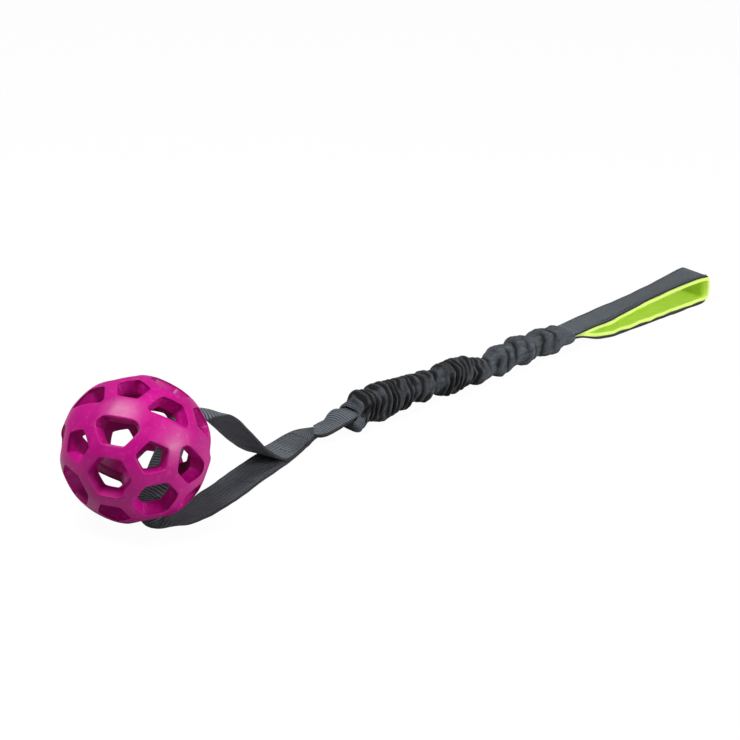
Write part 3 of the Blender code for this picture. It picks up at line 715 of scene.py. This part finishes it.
sleeve = {
    "cells": (520, 88),
    "cloth": 0.8 * mm,
    "flatCloth": (62.0 * mm, 330.0 * mm),
    "tilt": math.radians(61.0),  # direction in the y-z plane in which the upper outline is measured
    # all in mm. Distance from the front end; y and z of the middle; height against width; squareness
    "tube": [
        (0, 13.6, 8.5, 0.55, 2.8), (6, 13.2, 8.6, 0.72, 2.6), (15, 12.8, 9.8, 0.92, 2.2),
        (40, 13.0, 11.8, 0.98, 2.0), (76, 13.2, 10.0, 0.98, 2.0), (108, 12.6, 10.6, 0.96, 2.0),
        (122, 13.0, 9.4, 0.92, 2.0), (150, 14.6, 9.3, 0.88, 2.1), (180, 16.3, 9.6, 0.84, 2.2),
        (198, 16.5, 10.0, 0.62, 2.8), (208, 16.5, 10.0, 0.46, 3.4), (218, 16.5, 10.0, 0.44, 3.4),
    ],
    # distance from the front end and reach above the middle
    "upper": [
        (0, 6.4), (1.9, 7.8), (5.6, 8.5), (7.8, 9.2), (9.5, 12.1), (11.7, 12.8), (15.8, 12.3), (18.9, 11.1),
        (23.6, 13.0), (29.5, 12.6), (36.3, 11.3),
        (47, 10.5), (59.1, 10.6), (62.5, 9.8), (66.8, 11.0), (77.3, 9.3), (84.8, 11.5), (94.3, 12.0),
        (106, 10.9), (111.7, 8.4), (117.4, 7.8), (123.6, 5.9), (127.8, 6.0), (132.9, 7.9), (139.3, 10.1),
        (146.2, 9.3), (150.1, 8.6), (159.9, 11.3), (167.7, 9.8), (173.9, 7.3), (181.4, 9.2), (185.5, 9.2),
        (191.1, 8.1), (196.6, 6.5), (208.3, 6.6), (218, 6.4),
    ],
    # the same below it
    "lower": [
        (0, 10.8), (2.3, 11.0), (5.6, 9.3), (9.5, 7.7), (13.1, 8.4), (23.3, 11.7), (29.1, 11.2), (34.0, 11.6),
        (37.5, 10.2), (44.6, 11.2), (52.7, 7.8), (57.6, 8.9), (63.5, 10.3), (69.1, 8.4), (73.8, 6.4),
        (80.6, 10.0), (83.8, 11.2), (86.9, 10.3), (88.9, 11.6), (93.2, 11.0), (100.3, 9.9), (104.6, 8.8),
        (113.2, 11.3),
        (122.3, 9.1), (129.2, 7.8), (135.9, 11.2), (140.7, 10.0), (153.8, 7.2), (163.1, 9.8), (169.1, 8.7),
        (175.1, 7.4), (184.8, 9.2), (190.9, 9.4), (196.1, 7.2), (202, 6.2), (218, 6.0),
    ],
    # folds: distance from the front end, folds per mm, depth in mm, share of small pleats
    "folds": [
        (0, 0.10, 0.3, 0.4), (5, 0.20, 2.2, 1.0), (12, 0.23, 3.8, 1.0), (48, 0.22, 4.2, 1.0),
        (56, 0.14, 3.6, 0.8), (76, 0.14, 3.6, 0.9), (84, 0.23, 4.2, 1.0), (110, 0.22, 3.4, 1.0),
        (122, 0.11, 1.7, 0.7), (190, 0.10, 1.5, 0.7), (202, 0.07, 0.3, 0.3), (218, 0.07, 0.1, 0.2),
    ],
    "lean": 2.6,  # the folds lie this much further along above, and as much nearer the front below
    "wander": 2.4,  # how far they stray from straight rings
    "spacing": 0.22,  # how unevenly they lie, as a share of the way from one to the next
    "sharpness": 1.9,  # a higher power makes narrower creases
    "pleat": 0.45,  # depth of the small pleats on the folds
    "least": 4.9,  # the cloth comes no nearer to the middle, where the elastic is
    "seed": 5.0,
    "counted": 220,  # the folds are counted up to here
    # the mouth starts this much earlier at its near side than at its far side, which is this late
    "slant": (9.0, 3.0),
    "slantSpan": 16.0,
    # a crease along the mouth's near side: where and half width in degrees, and depth
    "mouthCrease": (90.0, 13.0, 2.6),
    # each end hugs what goes into it: middle y and z, half width, half height, length of the rounded lip
    "frontHug": (13.4, 10.0, 10.3, 2.1, 4.5),
    "backHug": (16.5, 10.0, 11.3, 2.6, 5.0),
}


def along(table, s):
    # the values of a table at distance s, eased between its rows
    for near, far in zip(table, table[1:]):
        if s <= far[0]:
            share = ease(near[0], far[0], s)
            return [mix(a, b, share) for a, b in zip(near[1:], far[1:])]
    return table[-1][1:]


def countFolds():
    # folds from the front end up to every half millimetre
    counts = [0.0]
    for i in range(2 * sleeve["counted"]):
        counts.append(counts[-1] + 0.5 * along(sleeve["folds"], i * 0.5)[0])
    return counts


def foldDepth(counts, s, angle):
    # how deep the cloth dives between two folds, 0 on a ridge to 1 in a crease, and the small pleats too
    turned = angle - sleeve["tilt"]
    side, rise = math.cos(angle), math.sin(angle)
    wander = sleeve["wander"] * noise.noise(Vector((s * 0.06, 1.5 * side, 1.5 * rise)))
    here = min(max(s - sleeve["lean"] * math.cos(turned) + wander, 0.0), sleeve["counted"] - 1.0)
    count = mix(counts[int(here * 2)], counts[int(here * 2) + 1], here * 2 % 1)
    count += sleeve["spacing"] * noise.noise(Vector((count * 0.9 + sleeve["seed"], 0.0, 0.0)))
    fold = round(count)
    away = abs(count - fold) * 2
    size = noise.noise(Vector((fold * 3.71 + sleeve["seed"], 0.8 * side, 0.8 * rise)))
    crease = (1 - away) ** sleeve["sharpness"] * min(max(0.70 + 1.7 * size, 0.06), 1.0)
    small = noise.noise(Vector((count * 3.1, 1.5 * side + 7, 1.5 * rise)))
    pleat = 1 - min(abs(small) / 0.35, 1.0)
    return crease, pleat


def oval(angle, squareness, wide, tall):
    # squareness 2 gives an ellipse, and more a fuller outline
    side = math.copysign(abs(math.cos(angle)) ** (2 / squareness), math.cos(angle))
    rise = math.copysign(abs(math.sin(angle)) ** (2 / squareness), math.sin(angle))
    return side * wide, rise * tall


def sleevePoint(counts, s, angle):
    # a point of the cloth at distance s in mm, and how much painted shade darkens its crease
    y, z, tall, squareness = along(sleeve["tube"], s)
    depth, pleats = along(sleeve["folds"], s)[1:]
    upper, lower = along(sleeve["upper"], s)[0], along(sleeve["lower"], s)[0]
    # the plain tube reaches this far towards the outline, so it is scaled to the measured reach
    tilt = sleeve["tilt"]
    reach = (math.cos(tilt) ** squareness + (tall * math.sin(tilt)) ** squareness) ** (1 / squareness)
    turned = angle - tilt
    size = mix(lower, upper, 0.5 + 0.5 * math.cos(turned)) / reach
    crease, pleat = foldDepth(counts, s, angle)
    # the creases are shallower along the outline, which has its own measured dips
    inside = 0.25 + 0.75 * min(abs(math.sin(turned)) * 1.5, 1.0)
    where, half, deep = sleeve["mouthCrease"]
    beside = (math.degrees(turned) - where) / half
    atMouth = deep * math.exp(-beside * beside) * ease(0.0, 3.0, s) * (1 - ease(9.0, 15.0, s))
    dip = depth * inside * crease + sleeve["pleat"] * pleats * pleat + atMouth
    size = max(size + sleeve["pleat"] - dip, sleeve["least"])
    side, rise = oval(angle, squareness, size, size * tall)
    y, z = y + side, z + rise
    last = (hemEnd - sleeveStart) * 1000
    for hug, far in ((sleeve["frontHug"], s), (sleeve["backHug"], last - s)):
        lip = min(far / hug[4], 1.0)
        if lip < 1:
            side, rise = oval(angle, 3.0, hug[2], hug[3])
            swell = math.sqrt(1 - (1 - lip) ** 2)
            y, z = mix(hug[0] + side, y, swell), mix(hug[1] + rise, z, swell)
    # below this height the cloth flattens out towards the ground
    floor = 1.0
    height = z if z > floor else floor * math.exp((z - floor) / floor)
    early, late = sleeve["slant"]
    shift = (early * (0.5 - 0.5 * math.cos(turned)) - late) * (1 - ease(0.0, sleeve["slantSpan"], s))
    # painted shade: darker the deeper the cloth dips, and a little darker all over where the folds are deep
    dark = min(dip / 3.2 + 0.07 * depth, 1.0)
    return Vector((sleeveStart + (s - shift) * mm, y * mm, height * mm)), dark


def makeSleeve():
    counts = countFolds()
    bm = bmesh.new()
    uvLayer = bm.loops.layers.uv.new("cloth")
    shade = bm.verts.layers.float.new("crease")
    cells = sleeve["cells"]
    bmesh.ops.create_grid(bm, x_segments=cells[0], y_segments=cells[1], size=0.5, calc_uvs=True)
    length = (hemEnd - sleeveStart) * 1000
    columns = {}
    for v in bm.verts:
        column, row = round((v.co.y + 0.5) * cells[1]), round((v.co.x + 0.5) * cells[0])
        angle = (v.co.y + 0.5) * 2 * math.pi - math.pi / 2
        v.co, v[shade] = sleevePoint(counts, (v.co.x + 0.5) * length, angle)
        columns.setdefault(column, {})[row] = v
    # the weave follows the cloth: its distance along each column is measured over the folds
    clothAt = {}
    for column, rows in columns.items():
        distance = 0.0
        for row in range(cells[0] + 1):
            if row:
                distance += (rows[row].co - rows[row - 1].co).length
            clothAt[rows[row]] = (distance, column / cells[1] * sleeve["flatCloth"][0])
    for face in bm.faces:
        for loop in face.loops:
            loop[uvLayer].uv = clothAt[loop.vert]
    bmesh.ops.remove_doubles(bm, verts=bm.verts, dist=0.001 * mm)
    bmesh.ops.recalc_face_normals(bm, faces=bm.faces)
    piece = finishPiece("gatheredSleeve", bm, nylon, ["bungee_sleeve"])
    wall = piece.modifiers.new("wall", "SOLIDIFY")
    wall.thickness = sleeve["cloth"]
    wall.offset = -1.0
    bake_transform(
        piece, "bungee", "bungee_end",
        start=Vector((sleeveStart + 0.006, 0, 0)), end=Vector((sleeveEnd - 0.010, 0, 0)))


print("sleeve")
makeSleeve()


# the elastic inside the sleeve, sewn to the tab and to the hand loop

elastic = {"width": 9.0 * mm, "thickness": 3.0 * mm, "fromMm": 9.0, "toMm": 200.0, "cells": (160, 6)}


def makeElastic():
    rows = []
    for i in range(61):
        s = mix(elastic["fromMm"], elastic["toMm"], i / 60)
        y, z = along(sleeve["tube"], s)[:2]
        rows.append([sleeveStart + s * mm, y * mm, z * mm, 0.0, 0.0])
    bm, length = stripMesh(rows, Vector((0, 1, 0)), lambda d: elastic["width"], elastic["cells"])
    piece = finishPiece("elasticBand", bm, elasticWeave, ["elastic_core"])
    giveThickness(piece, elastic["thickness"], edge=0.7 * mm)
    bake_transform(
        piece, "bungee", "bungee_end",
        start=Vector((sleeveStart + 0.006, 0, 0)), end=Vector((sleeveEnd - 0.010, 0, 0)))


print("elastic")
makeElastic()


# the hand loop: webbing folded back on itself, lined with fleece

handLoop = {
    "width": 23.4 * mm,
    "rootWidth": 20.0 * mm,
    "thickness": 1.6 * mm,
    "reach": 137.0 * mm,
    "height": 22.5 * mm,
    "insert": 17.0 * mm,
    "y": 17.2 * mm,
    "rootZ": 10.0 * mm,
    "cells": (300, 18),
    "lining": 2.8 * mm,
    "liningStart": -7.0 * mm,
    "liningCells": (280, 20),
    "wrap": (2.0 * mm, 1.2 * mm),  # at the tip the fleece covers the webbing's near edge: along and out
    "liningWave": (1.2 * mm, 0.8 * mm),  # of its near edge, sideways and up
    "barStitches": (2.5 * mm, 5.5 * mm),  # of the two bars, past the sleeve's hem
    "barHalf": 0.44,  # half width of the bars, as a share of the root's width
    "stitchStart": 12.0 * mm,  # of the edge rows, past the hem
    "stitchSide": 0.42,  # of the edge rows, as a share of the width
}


# the root bends with the hand loop between these two places
handLoopBend = {"start": Vector((sleeveEnd - 0.006, 0, 0)), "end": Vector((sleeveEnd + 0.016, 0, 0))}


def handLoopRows():
    # middle line of the webbing, from its upper end over the tip to its lower end
    tip = sleeveEnd + handLoop["reach"]
    half = handLoop["thickness"] / 2
    lift = half + 0.15 * mm
    top = handLoop["height"] - half
    rootZ = handLoop["rootZ"]
    points = [
        (sleeveEnd - handLoop["insert"], rootZ + lift, 0.0),
        (sleeveEnd - 0.009, rootZ + lift, 0.0),
        (sleeveEnd + 0.004, rootZ + 0.0017, 0.0),
        (sleeveEnd + 0.030, mix(rootZ + 0.001, top, 0.23), -0.06),
        (sleeveEnd + 0.060, mix(rootZ + 0.001, top, 0.46), -0.16),
        (sleeveEnd + 0.090, mix(rootZ + 0.001, top, 0.69), -0.17),
        (tip - 0.020, mix(rootZ + 0.001, top, 0.90), -0.08),
        (tip - 0.0060, top - 0.0003, 0.0),
        (tip - 0.0022, top - 0.0008, 0.0),
        (tip - 0.0004, top - 0.0036, 0.0),
        (tip, top - 0.0080, 0.0),
        (tip - 0.0006, half + 0.0060, 0.0),
        (tip - 0.0034, half + 0.0014, 0.0),
        (tip - 0.012, half, 0.0),
        (tip - 0.060, half, 0.0),
        (sleeveEnd + 0.036, half, 0.0),
        (sleeveEnd + 0.022, half + 0.0011, 0.0),
        (sleeveEnd + 0.011, half + 0.0036, 0.0),
        (sleeveEnd + 0.002, rootZ - 0.0028, 0.0),
        (sleeveEnd - 0.007, rootZ - lift - 0.0003, 0.0),
        (sleeveEnd - handLoop["insert"], rootZ - lift, 0.0),
    ]
    rows = traceRoute([(x, handLoop["y"], z, 0.0, roll) for x, z, roll in points])
    return [[x, y, max(z, half), curl, roll] for x, y, z, curl, roll in rows]


def handLoopWidth(x):
    # the webbing narrows where it goes into the sleeve
    return mix(handLoop["rootWidth"], handLoop["width"], ease(sleeveEnd, sleeveEnd + 0.032, x))


def makeHandLoop():
    rows = handLoopRows()
    distances = measureRoute(rows)
    across = Vector((0, 1, 0))
    bm, length = stripMesh(
        rows, across, lambda d: handLoopWidth(rowAt(rows, distances, d)[0]), handLoop["cells"],
        uneven=0.6 * mm)
    for v in bm.verts:
        v.co.z = max(v.co.z, handLoop["thickness"] / 2)
    piece = finishPiece("handleWebbing", bm, webbing, ["handle_webbing"])
    giveThickness(piece, handLoop["thickness"])
    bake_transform(piece, "bungee_end", "handle", **handLoopBend)
    print("hand loop", round(length * 1000), "mm")

    # bars of grey stitches across the root, and a dark row along each edge that holds the lining
    def place(d, side):
        wide = handLoopWidth(rowAt(rows, distances, d)[0])
        point, out = stripPoint(stripFrame(rows, distances, across, d), side, wide)
        return point + out * handLoop["thickness"] / 2, out

    bm = bmesh.new()
    root = handLoop["insert"] - (sleeveEnd - hemEnd)
    half, rootWidth = handLoop["barHalf"], handLoop["rootWidth"]
    for past in handLoop["barStitches"]:
        sewRow(bm, lambda t: place(root + past, -half + t / rootWidth), 2 * half * rootWidth)
    piece = finishPiece("barStitches", bm, greyThread, [])
    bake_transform(piece, "bungee_end", "handle", **handLoopBend)
    bm = bmesh.new()
    start = root + handLoop["stitchStart"]
    for side in (-handLoop["stitchSide"], handLoop["stitchSide"]):
        sewRow(bm, lambda t: place(start + t, side), length - 2 * start, thread=0.22 * mm)
    piece = finishPiece("edgeStitches", bm, darkThread, [])
    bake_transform(piece, "bungee_end", "handle", **handLoopBend)


def makeLining():
    rows = handLoopRows()
    seam = sleeveEnd + handLoop["liningStart"]
    inner = []
    for before, here, after in zip(rows, rows[1:], rows[2:]):
        if here[0] < seam:
            continue
        ahead = (Vector(after[:3]) - Vector(before[:3])).normalized()
        inward = Vector((ahead.z, 0.0, -ahead.x))
        thick = mix(0.5 * mm, handLoop["lining"], ease(seam, seam + 0.034, here[0]))
        middle = Vector(here[:3]) + inward * (handLoop["thickness"] / 2 + 0.3 * mm + thick / 2)
        inner.append([*middle, 0.0, here[4]])
    distances = measureRoute(inner)
    bm, length = stripMesh(
        inner, Vector((0, 1, 0)), lambda d: handLoopWidth(rowAt(inner, distances, d)[0]) - 1.0 * mm,
        handLoop["liningCells"])
    tip = sleeveEnd + handLoop["reach"]
    nearEdge = handLoop["y"] - handLoop["width"] / 2
    # the fleece wraps the near edge at the tip, and its near edge is wavy
    for v in bm.verts:
        atTip = ease(tip - 0.012, tip - 0.004, v.co.x)
        atEdge = ease(nearEdge + 4.0 * mm, nearEdge + 0.5 * mm, v.co.y)
        v.co.x += handLoop["wrap"][0] * atTip * atEdge
        v.co.y -= handLoop["wrap"][1] * atTip * atEdge
        sway = noise.noise(Vector((v.co.x * 90, 2.0, v.co.z * 60)))
        v.co.y += handLoop["liningWave"][0] * atEdge * sway
        rise = noise.noise(Vector((v.co.x * 75, 7.0, v.co.z * 60)))
        v.co.z += handLoop["liningWave"][1] * atEdge * (1 - atTip) * rise
    piece = finishPiece("fleeceLining", bm, fleece, ["handle_lining"])
    giveThickness(piece, handLoop["lining"] * 0.9, edge=0.9 * mm)
    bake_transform(piece, "bungee_end", "handle", **handLoopBend)
    print("lining", round(length * 1000), "mm")


print("hand loop")
makeHandLoop()
makeLining()


# studio: pale floor, soft lamps, the photograph's camera

studio = {
    "cameraAt": (-1.0582, -1.0737, 0.6363),
    "cameraTurn": (68.0, 0.0, -43.0),  # degrees
    "lens": 119.0,
    "worldStrength": 0.18,  # of the even light that everything but the camera sees
    "floorSize": 4.0,
    "floorDrop": 0.2 * mm,
    "floorGrey": 0.42,
    "floorWhite": 1.04,
    "whiteShare": 0.93,  # of plain white in what the camera sees of the floor
    "keyLamp": {"place": (-0.6, 0.1, 1.4), "aim": (0.0, 0.0, 0.0), "size": 0.6, "watts": 24.5},
    "fillLamp": {"place": (0.45, -1.2, 0.45), "aim": (0.1, 0.0, 0.0), "size": 0.7, "watts": 18.5},
}


def makeFloor():
    bm = bmesh.new()
    bmesh.ops.create_grid(bm, x_segments=1, y_segments=1, size=studio["floorSize"])
    mesh = bpy.data.meshes.new("floor")
    bm.to_mesh(mesh)
    bm.free()
    floor = bpy.data.objects.new("floor", mesh)
    bpy.context.scene.collection.objects.link(floor)
    floor.location.z = -studio["floorDrop"]
    material = bpy.data.materials.new("paleFloor")
    material.use_nodes = True
    tree = material.node_tree
    tree.nodes.clear()
    # the camera sees mostly plain white, with a soft share of the real shadow
    path = addNode(tree, "ShaderNodeLightPath")
    matt = addNode(tree, "ShaderNodeBsdfDiffuse", {}, {"Color": (*[studio["floorGrey"]] * 3, 1.0)})
    plain = addNode(tree, "ShaderNodeEmission", {}, {
        "Color": (1.0, 1.0, 1.0, 1.0), "Strength": studio["floorWhite"]})
    seen = addNode(tree, "ShaderNodeMath", {"operation": "MULTIPLY"}, {
        0: path.outputs["Is Camera Ray"], 1: studio["whiteShare"]})
    both = addNode(tree, "ShaderNodeMixShader", {}, {
        0: seen.outputs[0], 1: matt.outputs[0], 2: plain.outputs[0]})
    addNode(tree, "ShaderNodeOutputMaterial", {}, {0: both.outputs[0]})
    mesh.materials.append(material)


def makeWorld():
    world = bpy.data.worlds.new("studioWorld")
    bpy.context.scene.world = world
    world.use_nodes = True
    tree = world.node_tree
    tree.nodes.clear()
    path = addNode(tree, "ShaderNodeLightPath")
    strength = addNode(tree, "ShaderNodeMapRange", {}, {
        "Value": path.outputs["Is Camera Ray"], "To Min": studio["worldStrength"], "To Max": 1.0})
    sky = addNode(tree, "ShaderNodeBackground", {}, {
        "Color": (1.0, 1.0, 1.0, 1.0), "Strength": strength.outputs[0]})
    addNode(tree, "ShaderNodeOutputWorld", {}, {0: sky.outputs[0]})


def addLamp(name, place, aim, size, watts):
    data = bpy.data.lights.new(name, "AREA")
    data.energy = watts
    data.size = size
    lamp = bpy.data.objects.new(name, data)
    lamp.location = place
    lamp.rotation_euler = (Vector(aim) - Vector(place)).to_track_quat("-Z", "Y").to_euler()
    bpy.context.scene.collection.objects.link(lamp)


def makeCamera():
    data = bpy.data.cameras.new("camera")
    data.lens = studio["lens"]
    data.sensor_width = 36.0
    camera = bpy.data.objects.new("camera", data)
    camera.location = studio["cameraAt"]
    camera.rotation_euler = [math.radians(a) for a in studio["cameraTurn"]]
    bpy.context.scene.collection.objects.link(camera)
    bpy.context.scene.camera = camera


print("studio")
makeFloor()
makeWorld()
for lampName in ("keyLamp", "fillLamp"):
    addLamp(lampName, **studio[lampName])
makeCamera()
bpy.context.scene.view_settings.view_transform = "Standard"
